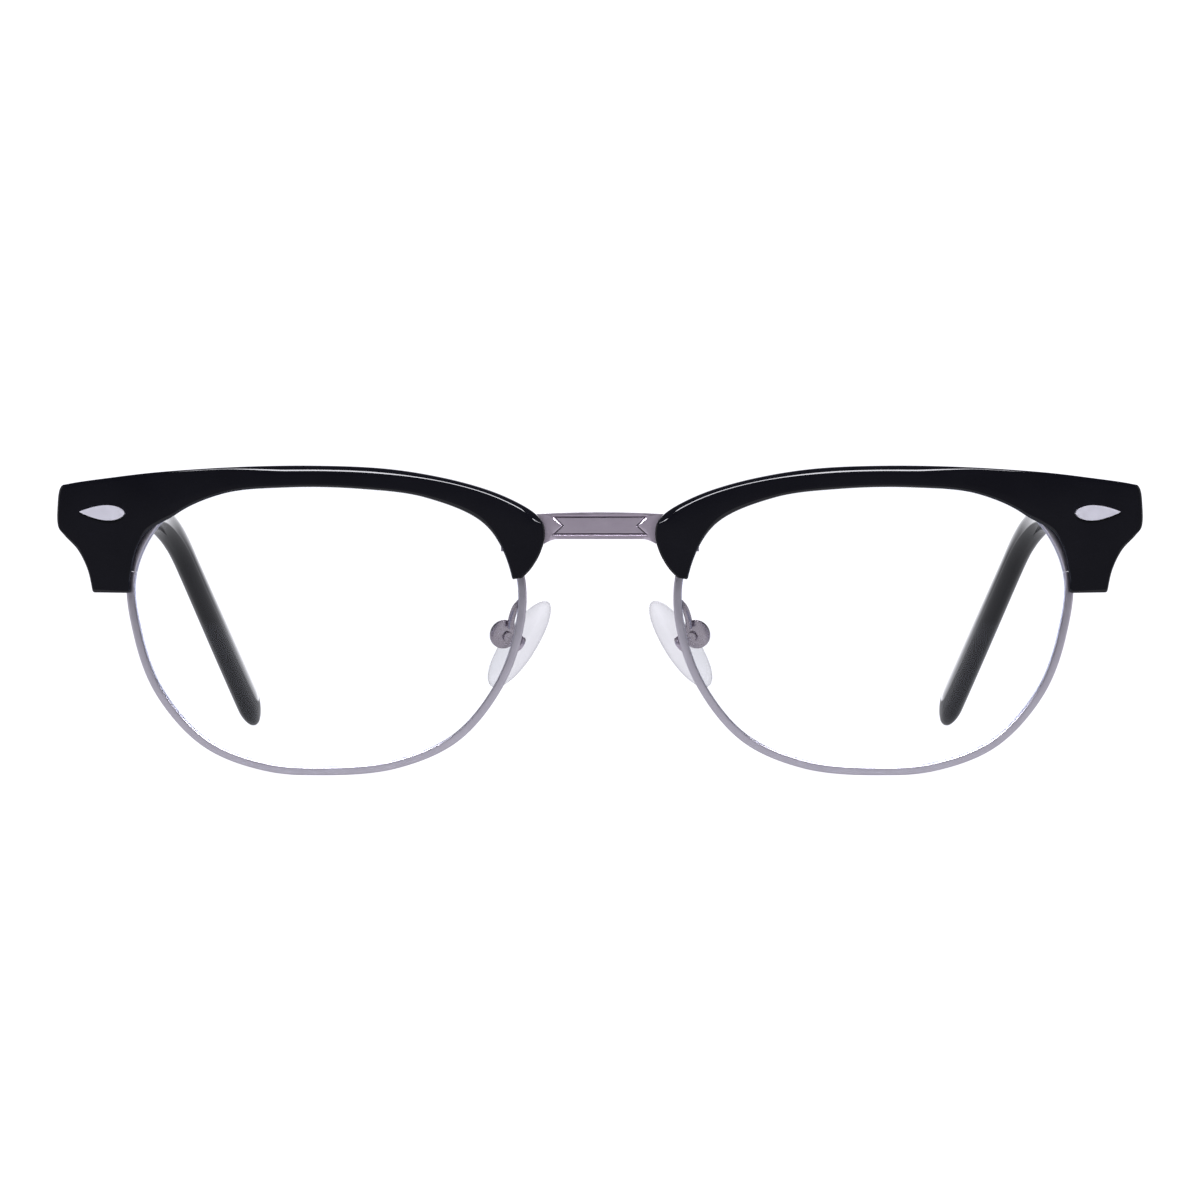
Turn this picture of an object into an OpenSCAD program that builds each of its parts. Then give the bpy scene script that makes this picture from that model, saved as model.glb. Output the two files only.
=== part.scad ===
// Half rim eyeglasses: acetate brows over full wire rims, a metal bridge,
// screw-on nose pads and acetate temples on five-knuckle hinges.
// Millimetres. +Z up, the front faces -Y, +X is the wearer's left.
// Origin: centre of the whole, on the surface that rims and temple tips stand on.

/* [Front] */
// Clear width between the two rims at the nose
lens_gap = 21.7; // [20:0.1:24]
// Angle that each lens turns back towards the temple, degrees
face_form = 5; // [3:0.5:6]
// Radius of the lens and front curve
base_r = 132; // [120:1:180]
// Width of the rim wire, seen from the front
rim_w = 1.1; // [1:0.05:1.2]
// Depth of the rim wire, front to back
rim_d = 2; // [1.8:0.1:2.2]
// Thickness of the lens
lens_t = 1.5; // [1.2:0.1:1.6]

/* [Brow] */
// Thickness of the brow lip in front of the rim
lip_t = 0.9; // [0.7:0.05:1]
// Height of the brow body behind the rim's middle, over the lens
brow_back = 2.2; // [1.8:0.1:2.4]
// Crown of the brow's front face
brow_crown = 0.12; // [0.05:0.01:0.3]
// Length of the metal plaque on each brow
plaque_w = 6.5; // [5:0.1:6.8]
// Height of the plaque
plaque_h = 2; // [1.4:0.1:2.2]

/* [Bridge] */
// Height of the bridge at its middle
bridge_h = 3.5; // [3:0.1:3.8]
// Thickness of the bridge
bridge_t = 1.5; // [1.2:0.1:1.7]
// Depth of the panel cut into the bridge
panel_depth = 0.1; // [0.05:0.05:0.3]

/* [Temples] */
// Height of the temple at the hinge
temple_h = 6.4; // [6:0.1:6.6]
// Height of the temple's waist, just before the ear bend
waist_h = 4.6; // [4:0.1:6]
// Height of the temple near its tip
tip_h = 6.9; // [6:0.1:7.5]
// Thickness of the temple
temple_t = 3.4; // [3:0.1:3.6]
// Straight length, from the temple's front end to the bend
temple_straight = 76.5; // [74:0.1:84]
// Angle of the ear bend, degrees
ear_bend = 40; // [36:1:42]
// Radius of the ear bend
ear_bend_r = 28; // [18:1:30]
// Angle that the tail turns in towards the head, degrees
tail_in = 11.5; // [8:0.5:12]

/* [Hinges] */
// Radius of a hinge knuckle
knuckle_r = 1.35; // [1.25:0.05:1.4]
// Radius of the hinge screw
hinge_screw_r = 0.68; // [0.6:0.01:0.7]
// Clearance of a screw in a hole that turns on it
run_fit = 0.04; // [0.02:0.01:0.08]

/* [Nose pads] */
// Length of a pad
pad_l = 13.5; // [12:0.1:14]
// Width of a pad
pad_w = 7.8; // [7:0.1:8.2]
// Thickness of a pad
pad_t = 2.3; // [2.1:0.1:2.6]
// Thickness of the wire of a pad arm
arm_wire = 0.9; // [0.8:0.05:1]

/* [Hidden] */
ROUND = 48;

// ---- Eye outline: inner edge of the rim, from the saw cut at the temple down,
// ---- round by the nose and over the top. x from the middle of the eye, z from the floor.
EYE = [[24.95, 26.4], [24.2, 18.4], [21.3, 10.9], [15.5, 4.6], [7.7, 1.6], [-0.7, 1.1],
       [-9.1, 2.0], [-16.5, 5.2], [-21.7, 11.2], [-24.6, 18.4], [-24.9, 26.0], [-21.3, 33.0],
       [-13.5, 36.6], [-4.7, 37.8], [4.7, 38.0], [13.7, 37.1], [21.1, 33.4]];
// ---- Stations of the brow: place on the eye outline, then the brow's outer edge there
BROW = [[9.95, -25.75, 25.7], [10.15, -26.95, 27.0], [10.4, -28.05, 28.9], [10.65, -28.65, 31.1],
        [10.95, -28.2, 33.2], [11.3, -25.95, 35.1], [11.8, -21.3, 37.2], [12.4, -14.9, 38.9],
        [13, -7.3, 40.0], [14, 2.3, 40.35], [14.8, 11.7, 40.15], [15.6, 21.7, 39.55],
        [16.05, 28.7, 38.8], [16.3, 33.9, 38.1], [16.4, 35.3, 37.5], [16.55, 35.65, 35.0],
        [16.68, 35.55, 32.5], [16.78, 34.6, 31.2], [16.92, 32.75, 29.3], [17.1, 31.4, 26.7],
        [17.34, 30.7, 23.75]];

eye_w = 49.9;
eye_x = lens_gap / 2 + eye_w / 2;
eye_z = 19.6;
gap = 0.05;
rim_stations = 76;
groove_d = 0.5;
bevel_d = 0.4;
saw_cut = 0.02;
brow_steps = 3;
lip_in = 0.55;
lip_out = 0.5;
lip_show = 0.3;

// Hinge and its seat on the back of the brow, as depths behind the lens plane
hinge_x = eye_x + 28.35;
seat_y = 7.65;
plate_t = 0.9;
leaf_y = seat_y + plate_t + 2 * gap;
hinge_y = leaf_y + plate_t + 0.15 + knuckle_r;
butt_y = 10.2;
step_x = hinge_x + 2.1;
hinge_z = 31.4;
knuckle_h = 1.2;
knuckle_gap = 0.04;
hinge_top = hinge_z + 5 * knuckle_h;
plate_x = hinge_x - 4.3;
plate_w = 6.1;
front_screw_x = hinge_x - 3.1;
front_screw_z = [32.9, 35.9];
small_screw_r = 0.55;
small_head_r = 1;
small_head_t = 0.45;

// Closing block, which clamps the cut rim round its lens
block_x = eye_x + 26.3;
block_w = 2.5;
block_y = 4.95;
block_d = 2.65;
split_z = 26.4;
block_low = 24.4;
block_high = 30;
block_screw_x = block_x + block_w / 2;
block_screw_y = block_y + block_d / 2;

// Temple line: front end, tail and rounded tip
temple_x = eye_x + 32.7;
temple_y = butt_y + 0.15;
temple_z = 34.4;
temple_round = 1.4;
bend_len = ear_bend_r * ear_bend * PI / 180;
turn_from = temple_straight - 4.8;
turn_len = 16;
turn_r = turn_len / (tail_in * PI / 180);
cap_len = 6;
cap_drop = norm([cap_len * sin(ear_bend), tip_h / 2 * cos(ear_bend)]);
bend_z = temple_z - ear_bend_r * (1 - cos(ear_bend));
tail_len = (bend_z - cap_drop) / sin(ear_bend);
temple_len = temple_straight + bend_len + tail_len;
cap_reach = norm([cap_len * cos(ear_bend), tip_h / 2 * sin(ear_bend)]);
tip_y = temple_y + temple_straight + ear_bend_r * sin(ear_bend) + tail_len * cos(ear_bend) + cap_reach;
leaf_len = 10;
leaf_t = 0.85;
leaf_x = temple_x - temple_t / 2 - gap - leaf_t;
temple_screw_y = [4, 7.8];
wire_r = 0.65;

// The whole is centred front to back: the brow's foremost point is at front_y
front_y = -1.6;
mid_y = (tip_y + front_y) / 2;

// Bridge
bridge_z = 32.5;
bridge_front = 1.8;
bridge_reach = 12.9;
bridge_arch = 0.0036;
panel_x = 6;
panel_h = 2.2;
panel_notch = 1.2;
groove_w = 0.26;
nasal_screw = [9.7, 31.6];

// Nose pad frame: normal towards the nose, long axis up, screw axis along the pad's width
pad_centre = [lens_gap / 2 - 0.3, 8.7, 16.85];
pad_up = unit([-0.559, 0, 0.829]);
pad_face = unit(cross(pad_up, cross([-0.8, 0.45, -0.35], pad_up)));
pad_side = cross(pad_up, pad_face);
insert_r = 1.1;
insert_t = 0.5;
lug_t = 1;
lug_h = 1.7;
pivot_back = 2.65;
disc_r = 1.95;
disc_off = 0.6;
ear_t = 0.4;
ear_gap = 0.06;
box_back = 0.95;
pad_screw_r = 0.36;

// ---- Colours
ACETATE = [0.06, 0.065, 0.075];
GUNMETAL = [0.62, 0.59, 0.62];
STEEL = [0.75, 0.75, 0.77];
LENS = [0.85, 0.92, 0.95, 0.35];
SILICONE = [0.88, 0.9, 0.9, 0.6];

// ---- Curve functions
function unit(v) = v / norm(v);
function mix(a, b, f) = a + (b - a) * f;
function smooth(f) = let (c = max(0, min(1, f))) c * c * (3 - 2 * c);
function cubic(a, b, c, d, f) =
    b + 0.5 * f * (c - a + f * (2 * a - 5 * b + 4 * c - d + f * (3 * (b - c) + d - a)));
// Smooth closed curve through the points p; one unit of t is one span
function loop_at(p, t) =
    let (n = len(p), i = floor(t), j = i + n)
    cubic(p[(j - 1) % n], p[j % n], p[(j + 1) % n], p[(j + 2) % n], t - i);
// Smooth open curve through the points p
function run_at(p, t) =
    let (n = len(p) - 1, i = min(floor(t), n - 1))
    cubic(p[max(i - 1, 0)], p[i], p[i + 1], p[min(i + 2, n)], t - i);

// Depth of the middle of the lens and rim behind the lens plane, x from the middle of the nose
function face(x, z) = tan(face_form) * (x - eye_x) + (pow(x - eye_x, 2) + pow(z - eye_z, 2)) / (2 * base_r);
// Point of the eye outline, and its outward direction
function eye(t) = loop_at(EYE, t) + [eye_x, 0];
function eye_out(t) = let (d = unit(eye(t + 0.01) - eye(t - 0.01))) [-d[1], d[0]];
// Point in the row's frame at an outline point, v behind the middle of the lens
function at_face(p, v) = [p[0], face(p[0], p[1]) + v - mid_y, p[1]];
function placed(p) = [p[0], p[1] - mid_y, p[2]];

// ---- Skins: quads between rings of points, closed at each end by a list of triangles
function fan(n) = [for (i = [1:n - 2]) [0, i, i + 1]];
function turned(tris) = [for (t = tris) [t[2], t[1], t[0]]];
function moved(tris, by) = [for (t = tris) [for (i = t) i + by]];
module skin(rings, cap) {
    n = len(rings[0]);
    last = (len(rings) - 1) * n;
    sides = [for (i = [0:len(rings) - 2], j = [0:n - 1])
             let (a = i * n + j, b = i * n + (j + 1) % n)
             each [[a, b, b + n], [a, b + n, a + n]]];
    polyhedron([for (r = rings) each r], concat(sides, turned(cap), moved(cap, last)));
}
// Round wire along the points of a path
module wire(path, r, sides = 8) {
    rings = [for (i = [0:len(path) - 1])
             let (t = unit(path[min(i + 1, len(path) - 1)] - path[max(i - 1, 0)]),
                  u = unit(cross(t, [1, 0, 0.2])), v = cross(u, t))
             [for (k = [0:sides - 1]) path[i] + r * (cos(k * 360 / sides) * u + sin(k * 360 / sides) * v)]];
    skin(rings, fan(sides));
}

// ---- Placing helpers
// Extrudes a front view outline from depth y0 to y1
module slab(y0, y1) {
    translate([0, y1 - mid_y, 0]) rotate([90, 0, 0]) linear_extrude(y1 - y0) children();
}
module round_rect(x, y, w, h, r) {
    translate([x + r, y]) square([w - 2 * r, h]);
    translate([x, y + r]) square([w, h - 2 * r]);
    for (i = [0, 1], j = [0, 1])
        translate([x + r + i * (w - 2 * r), y + r + j * (h - 2 * r)]) circle(r, $fn = ROUND);
}
// Screw with a slotted head at z = 0, its shaft pointing down
module screw(r, length, head_r, head_t) {
    difference() {
        union() {
            translate([0, 0, -length]) cylinder(length, r, r, $fn = ROUND);
            cylinder(head_t, head_r, head_r, $fn = ROUND);
        }
        translate([-head_r - 1, -0.12, head_t * 0.5]) cube([2 * head_r + 2, 0.24, head_t]);
    }
}
// Turns +Z to point backwards, along +Y
module facing_back() { rotate([-90, 0, 0]) children(); }

// ---- Rim: a wire with a V groove for the lens, cut through at the closing block
rim_section = [[0.12, 1], [0, 0.85], [0, 0.5], [groove_d / rim_w, 0], [0, -0.5], [0, -0.85],
               [0.12, -1], [0.85, -1], [1, -0.75], [1, 0.75], [0.85, 1]];
rim_cap = [[10, 0, 1], [10, 1, 2], [10, 2, 3], [10, 3, 9], [9, 3, 8], [8, 3, 7], [7, 3, 4],
           [7, 4, 5], [7, 5, 6]];
module rim() {
    color(GUNMETAL)
    skin([for (i = [0:rim_stations])
          let (t = mix(saw_cut, len(EYE) - saw_cut, i / rim_stations), p = eye(t), out = eye_out(t))
          [for (s = rim_section) at_face(p + out * s[0] * rim_w, s[1] * rim_d / 2)]],
         rim_cap);
}

// ---- Lens: bevelled edge in the rim's groove, both faces on the front curve
module lens() {
    n = rim_stations;
    edge = [[0.35, 1, -gap], [0.7, 1, -gap], [1, 1, -gap], [1, 0.5, -gap], [1, 0, bevel_d],
            [1, -0.5, -gap], [1, -1, -gap], [0.7, -1, -gap], [0.35, -1, -gap]];
    rings = [for (e = edge)
             [for (i = [0:n - 1])
              let (t = len(EYE) * i / n, p = eye(t) + eye_out(t) * e[2], c = [eye_x, eye_z])
              at_face(mix(c, p, e[0]), e[1] * lens_t / 2)]];
    middle = [for (v = [1, -1]) at_face([eye_x, eye_z], v * lens_t / 2)];
    sides = [for (i = [0:len(rings) - 2], j = [0:n - 1])
             let (a = i * n + j, b = i * n + (j + 1) % n)
             each [[a, b, b + n], [a, b + n, a + n]]];
    total = len(rings) * n;
    ends = [for (j = [0:n - 1]) each [[total, (j + 1) % n, j],
            [total + 1, total - n + j, total - n + (j + 1) % n]]];
    color(LENS) polyhedron(concat([for (r = rings) each r], middle), concat(sides, ends));
}

// ---- Brow: a lip in front of the rim and a body outside it, lofted through stations
// Depth of the brow's back at a point, thin by the nose and level under the hinge
function back_at(x, z) =
    let (curved = face(x, z) + mix(0.55, brow_back, smooth((x - 14) / 10)))
    mix(curved, seat_y, smooth((x - eye_x - 17) / 7));
// Depth of the thick end that the temple butts against
function end_at(x, z) = mix(seat_y, butt_y, smooth((z - 28) / 3));
function brow_ring(k) =
    let (s = run_at(BROW, k), t = s[0], outer = [s[1] + eye_x, s[2]],
         inset = mix(-lip_in, lip_out, smooth((t - 15.8) / 0.6))
                 + lip_show * smooth((t - 16.1) / 0.4) * (1 - smooth((t - 16.6) / 0.4)),
         out = eye_out(t), p = eye(t) + out * inset, w = norm(outer - p), e = (outer - p) / w,
         past_rim = (rim_w + 2 * gap - inset) / (e * out),
         past_block = (block_x + block_w + 2 * gap - p[0]) / max(e[0], 0.1),
         at_block = t > 16 ? smooth((31.6 - p[1]) / 1.2) : 0,
         wall = min(mix(past_rim, past_block, at_block), w - 0.45),
         body = smooth((w - past_rim - 0.5) / 1.5),
         far = max(w - 0.5, wall + 0.15),
         to_step = (step_x - p[0]) / max(e[0], 0.1),
         stepped = outer[0] > step_x + 0.9 && to_step > wall + 0.3,
         step = t > 15.5 && to_step > wall + 0.3 ? min(to_step, far - 0.2) : mix(wall, far, 0.6),
         at = function(u, v) let (q = p + e * u) at_face(q, v),
         lip = -rim_d / 2 - gap, front = lip - lip_t,
         rear = function(u, inner)
             let (q = p + e * u, b = back_at(q[0], q[1]), edge = max(b, inner ? b : end_at(q[0], q[1])),
                  deep = outer[0] > step_x + 0.9 ? edge : b,
                  lip_y = face(q[0], q[1]) + lip)
             [q[0], mix(lip_y + 0.02, max(deep, lip_y + 0.02), body) - mid_y, q[1]],
         crown_u = max(0.45 * w, wall + 0.05), shoulder = max(w - 1, crown_u + 0.05),
         bevel = max(w - 0.28, shoulder + 0.05))
    [at(0, front + 0.3), at(min(0.2, w / 4), front + 0.04), at(crown_u, front - brow_crown * body),
     at(shoulder, front), at(bevel, front + 0.3 * max(body, 0.5)), at(w, front + mix(0.6, 0.95, body)),
     rear(w, false) - [0, 0.5 * body, 0], rear(far, false), rear(step + 0.04, !stepped), rear(step, true),
     rear(wall, true), at(wall, lip), at(0, lip)];
brow_cap = [[12, 0, 1], [12, 1, 11], [11, 1, 2], [11, 2, 10], [10, 2, 9], [9, 2, 3], [9, 3, 8],
            [8, 3, 4], [8, 4, 7], [7, 4, 5], [7, 5, 6]];
module brow_blank() {
    n = (len(BROW) - 1) * brow_steps;
    skin([for (i = [0:n]) brow_ring(i / brow_steps)], brow_cap);
}
module brow() {
    color(ACETATE)
    difference() {
        brow_blank();
        for (z = front_screw_z) brow_screw_hole(front_screw_x, z, seat_y, 2);
        brow_screw_hole(nasal_screw[0], nasal_screw[1], bridge_front - 0.2, 1.8);
        on_plaque() plaque_solid(gap / 2);
    }
}
module brow_screw_hole(x, z, y, depth) {
    translate([x, y - depth - mid_y, z]) facing_back()
        cylinder(depth + 1, small_screw_r + 0.02, small_screw_r + 0.02, $fn = ROUND);
}

// ---- Plaque: pointed at the temple, blunt towards the lens, held by two pins in the brow
plaque_at = [eye_x + 29.4, 34.2];
plaque_turn = 2;
plaque_sink = 0.3;
plaque_t = 0.5;
module on_plaque() {
    slope_x = tan(face_form) + (plaque_at[0] - eye_x) / base_r;
    slope_z = (plaque_at[1] - eye_z) / base_r;
    along = unit([1, slope_x, 0]);
    out = unit(cross(along, unit([0, slope_z, 1])));
    up = cross(out, along);
    origin = at_face(plaque_at, -rim_d / 2 - gap - lip_t - brow_crown * 0.9);
    multmatrix([[along[0], up[0], out[0], origin[0]], [along[1], up[1], out[1], origin[1]],
                [along[2], up[2], out[2], origin[2]], [0, 0, 0, 1]]) rotate(plaque_turn) children();
}
module plaque_solid(slack) {
    steps = 24;
    half = [for (i = [0:steps]) let (u = i / steps)
            [(u - 0.5) * plaque_w, plaque_h / 2 * pow(max(0, sin(180 * pow(u, 0.7))), 0.85)]];
    outline = concat(half, [for (i = [steps - 1:-1:1]) [half[i][0], -half[i][1]]]);
    translate([0, 0, -plaque_sink - slack]) linear_extrude(plaque_t + slack) polygon(outline);
    for (x = [-1.5, 1.2])
        translate([x, 0, -1.8 - slack]) cylinder(1.8, 0.42 + slack, 0.42 + slack, $fn = ROUND);
}
module plaque() { color(GUNMETAL) on_plaque() plaque_solid(0); }

// ---- Closing block in two halves, and its screw from below
module block_half(z0, z1, hole_r) {
    translate([0, 0, z0])
    difference() {
        linear_extrude(z1 - z0) round_rect(block_x, block_y - mid_y, block_w, block_d, 0.4);
        translate([block_screw_x, block_screw_y - mid_y, -1]) cylinder(z1 - z0 - 0.5 + 1, hole_r, hole_r, $fn = ROUND);
    }
}
module closing_block_upper() { color(GUNMETAL) block_half(split_z + gap, block_high, small_screw_r + 0.01); }
module closing_block_lower() {
    color(GUNMETAL)
    difference() {
        translate([0, 0, block_low]) linear_extrude(split_z - gap - block_low)
            round_rect(block_x, block_y - mid_y, block_w, block_d, 0.4);
        translate([block_screw_x, block_screw_y - mid_y, block_low - 1]) {
            cylinder(5, small_screw_r + run_fit, small_screw_r + run_fit, $fn = ROUND);
            cylinder(1.5, small_head_r + run_fit, small_head_r + run_fit, $fn = ROUND);
        }
    }
}
module closing_screw() {
    color(STEEL) translate([block_screw_x, block_screw_y - mid_y, block_low + 0.48]) rotate([180, 0, 0])
        screw(small_screw_r, 4.2, small_head_r, small_head_t);
}

// ---- Endpiece: plate from the closing block up behind the brow's end
module endpiece() {
    top = hinge_top - 0.1;
    color(GUNMETAL)
    difference() {
        slab(seat_y + gap, seat_y + gap + plate_t)
            polygon([[block_x, split_z + 0.4], [block_x + block_w, split_z + 0.4],
                     [block_x + block_w, hinge_z - 1], [plate_x + plate_w, hinge_z],
                     [plate_x + plate_w, top], [plate_x, top], [plate_x, hinge_z + 0.3],
                     [block_x, hinge_z - 1]]);
        screw_holes(small_screw_r + run_fit);
    }
}
module screw_holes(r) {
    for (z = front_screw_z)
        translate([front_screw_x, seat_y - mid_y, z]) facing_back() cylinder(4, r, r, $fn = ROUND);
}
module brow_screws() {
    color(STEEL) for (z = front_screw_z)
        translate([front_screw_x, leaf_y + plate_t + 0.03 - mid_y, z]) facing_back()
            screw(small_screw_r, 3.6, small_head_r, small_head_t);
}

// ---- Hinge: three knuckles on the front leaf, two on the temple's leaf
module knuckle(i) {
    translate([hinge_x, hinge_y - mid_y, hinge_z + i * knuckle_h + knuckle_gap])
        cylinder(knuckle_h - 2 * knuckle_gap, knuckle_r, knuckle_r, $fn = ROUND);
}
module hinge_bore(r) {
    translate([hinge_x, hinge_y - mid_y, hinge_z - 1]) cylinder(9, r, r, $fn = ROUND);
}
module hinge_front() {
    color(GUNMETAL)
    difference() {
        union() {
            slab(leaf_y, leaf_y + plate_t)
                round_rect(plate_x, hinge_z + knuckle_gap, plate_w, 5 * knuckle_h - 2 * knuckle_gap, 0.5);
            for (i = [0, 2, 4]) {
                knuckle(i);
                translate([hinge_x - 1, leaf_y + 0.2 - mid_y, hinge_z + i * knuckle_h + knuckle_gap])
                    cube([2, hinge_y - leaf_y - 0.2, knuckle_h - 2 * knuckle_gap]);
            }
        }
        hinge_bore(hinge_screw_r + run_fit);
        screw_holes(small_screw_r + run_fit);
    }
}
module hinge_rear() {
    color(GUNMETAL)
    difference() {
        union() {
            translate([leaf_x + leaf_t, temple_y + 0.2 - mid_y, temple_z]) rotate([0, -90, 0])
                linear_extrude(leaf_t) round_rect(-2.5, 0, 5, leaf_len, 1);
            for (i = [1, 3]) {
                knuckle(i);
                translate([hinge_x, hinge_y - 0.7 - mid_y, hinge_z + i * knuckle_h + knuckle_gap])
                    cube([leaf_x - hinge_x + 0.2, 1.9, knuckle_h - 2 * knuckle_gap]);
            }
        }
        hinge_bore(hinge_screw_r + run_fit);
        temple_screw_holes(small_screw_r + run_fit, 3);
    }
}
module hinge_screw() {
    color(STEEL) translate([hinge_x, hinge_y - mid_y, hinge_top + 0.01])
        screw(hinge_screw_r, hinge_top - hinge_z, 1.1, 0.5);
}

// ---- Temple: rounded section along a straight line, the ear bend and a tail that turns in
// Place of the centre line at length s from the front end, and the section's height there
function bend_at(s) = max(0, min(ear_bend, (s - temple_straight) / ear_bend_r * 180 / PI));
function turn_at(s) = max(0, min(tail_in, (s - turn_from) / turn_r * 180 / PI));
function temple_at(s) =
    let (a = bend_at(s), b = turn_at(s), past = max(0, s - temple_straight - bend_len),
         past_turn = max(0, s - turn_from - turn_len), flat = min(s, temple_straight))
    [temple_x - turn_r * (1 - cos(b)) - past_turn * sin(b),
     temple_y + flat + ear_bend_r * sin(a) + past * cos(a),
     temple_z - ear_bend_r * (1 - cos(a)) - past * sin(a)];
function height_at(s) =
    s < temple_straight ? mix(temple_h, waist_h, smooth(s / temple_straight))
                        : mix(waist_h, tip_h, smooth((s - temple_straight) / (bend_len + tail_len)));
// Three points round each corner of the section, in the section's own axes
function corner_points(t, h, r) =
    [for (c = [[1, 1], [-1, 1], [-1, -1], [1, -1]])
     let (far = [[t / 2, h / 2 - r], [t / 2 - 0.29 * r, h / 2 - 0.29 * r], [t / 2 - r, h / 2]],
          same = c[0] * c[1] > 0)
     each [for (i = same ? [0, 1, 2] : [2, 1, 0]) [far[i][0] * c[0], far[i][1] * c[1]]]];
// Ring of the temple at length s; past the tail's end it closes in on the tip
function temple_ring(s) =
    let (over = max(0, s - temple_len) / cap_len, shrink = sqrt(max(0, 1 - over * over)),
         p = temple_at(s), t = unit(temple_at(s + 0.05) - temple_at(s - 0.05)), a = bend_at(s),
         up = [0, sin(a), cos(a)], side = unit(cross(t, up)), h = height_at(min(s, temple_len)) * shrink,
         w = temple_t * max(shrink, 0.12), r = min(temple_round, w * 0.42, h * 0.42))
    [for (c = corner_points(w, max(h, 0.3), r)) placed(p + side * c[0] + up * c[1])];
temple_stations = concat([0, 0.4], [for (i = [1:11]) i * temple_straight / 11],
                         [for (i = [1:9]) temple_straight + i * bend_len / 9],
                         [for (i = [1:9]) temple_straight + bend_len + i * tail_len / 9],
                         [for (f = [15, 35, 55, 72, 84, 90]) temple_len + cap_len * sin(f)]);
module temple() {
    color(ACETATE)
    difference() {
        skin([for (s = temple_stations) temple_ring(s)], fan(12));
        temple_screw_holes(small_screw_r + 0.02, leaf_t + gap + 2.1);
    }
}
// Holes along X through the leaf, depth measured from the leaf's inner face
module temple_screw_holes(r, depth) {
    for (y = temple_screw_y)
        translate([leaf_x - 0.5, temple_y + y - mid_y, temple_z]) rotate([0, 90, 0])
            cylinder(depth + 0.5, r, r, $fn = ROUND);
}
module temple_screws() {
    color(STEEL) for (y = temple_screw_y)
        translate([leaf_x - 0.03, temple_y + y - mid_y, temple_z]) rotate([0, -90, 0])
            screw(small_screw_r, leaf_t + gap + 2, small_head_r, small_head_t);
}
// Stiffening wire inside the temple, from behind the hinge screws to near the tip
wire_from = 12;
module core_wire() {
    n = 26;
    length = temple_len - 3;
    color(STEEL) wire([for (i = [0:n]) placed(temple_at(mix(wire_from, length, i / n)))], wire_r);
}

// ---- Nose pads: arm, box, insert with its lug, pad and screw
module on_pad(back = 0) {
    p = placed(pad_centre - pad_face * back);
    multmatrix([[pad_side[0], pad_up[0], pad_face[0], p[0]], [pad_side[1], pad_up[1], pad_face[1], p[1]],
                [pad_side[2], pad_up[2], pad_face[2], p[2]], [0, 0, 0, 1]]) children();
}
// Outline of the pad, a little wider at its lower end, about the insert
pad_ring_n = 28;
function pad_outline(a, f) =
    let (low = 1 - 0.1 * sin(a)) [pad_w / 2 * low * cos(a) * f, pad_l / 2 * sin(a) * f];
module pad_blank() {
    rise = [[0.36, 0.5], [0.72, 0.44], [0.93, 0.3], [1, -0.05], [0.93, -0.4], [0.72, -0.5]];
    skin([for (p = rise) [for (i = [0:pad_ring_n - 1])
          let (q = pad_outline(i * 360 / pad_ring_n, p[0])) [q[0], q[1], p[1] * pad_t]]],
         fan(pad_ring_n));
}
module insert_solid() {
    translate([0, 0, -insert_t]) cylinder(insert_t, insert_r, insert_r, $fn = ROUND);
    translate([-lug_t / 2, -lug_h / 2, -pivot_back]) cube([lug_t, lug_h, pivot_back - 0.4]);
    translate([-lug_t / 2, 0, -pivot_back]) rotate([0, 90, 0]) cylinder(lug_t, lug_h / 2, lug_h / 2, $fn = ROUND);
}
module nose_pad() {
    color(SILICONE)
    difference() {
        on_pad() pad_blank();
        on_pad() insert_solid();
    }
}
module pad_insert() {
    color(GUNMETAL) on_pad()
    difference() {
        insert_solid();
        pad_screw_hole();
    }
}
module pad_screw_hole() {
    translate([-3, 0, -pivot_back]) rotate([0, 90, 0])
        cylinder(6, pad_screw_r + run_fit, pad_screw_r + run_fit, $fn = ROUND);
}
// U bracket: its front ear is a round plate, its rear ear a small one
module pad_box() {
    inner = lug_t / 2 + ear_gap;
    color(GUNMETAL) on_pad()
    difference() {
        union() {
            translate([inner, 0, -pivot_back - disc_off]) rotate([0, 90, 0])
                cylinder(ear_t, disc_r, disc_r, $fn = ROUND);
            translate([-inner - ear_t, 0, -pivot_back]) rotate([0, 90, 0])
                cylinder(ear_t, lug_h / 2, lug_h / 2, $fn = ROUND);
            translate([-inner - ear_t, -lug_h / 2, -pivot_back - box_back - 0.1])
                cube([ear_t, lug_h, box_back + 0.1]);
            translate([-inner - ear_t, -lug_h / 2, -pivot_back - box_back - ear_t])
                cube([2 * inner + ear_t + 0.1, lug_h, ear_t]);
        }
        pad_screw_hole();
    }
}
module pad_screw() {
    inner = lug_t / 2 + ear_gap;
    color(STEEL) on_pad() translate([inner + ear_t + 0.02, 0, -pivot_back]) rotate([0, 90, 0])
        screw(pad_screw_r, 2 * inner + 2 * ear_t + 0.4, 0.62, 0.3);
}
arm_end = pad_centre - pad_face * (pivot_back + disc_off) + pad_up * 1.15
          + pad_side * (lug_t / 2 + ear_gap + ear_t + arm_wire / 2 + 0.03);
ARM = [[lens_gap / 2 - 0.55, 1.9, 22.2], [lens_gap / 2 - 0.35, 3.2, 22.4],
       [lens_gap / 2 + 0.25, 4.5, 21.7], arm_end + [-0.15, -0.5, 1.3], arm_end];
module pad_arm() {
    n = 18;
    foot = ARM[0];
    color(GUNMETAL) {
        wire([for (i = [0:n]) placed(run_at(ARM, i * (len(ARM) - 1) / n))], arm_wire / 2);
        translate([foot[0], face(foot[0], foot[2]) + rim_d / 2 + gap - mid_y, foot[2]]) facing_back()
            cylinder(0.6, 0.75, 0.75, $fn = ROUND);
    }
}

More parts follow.
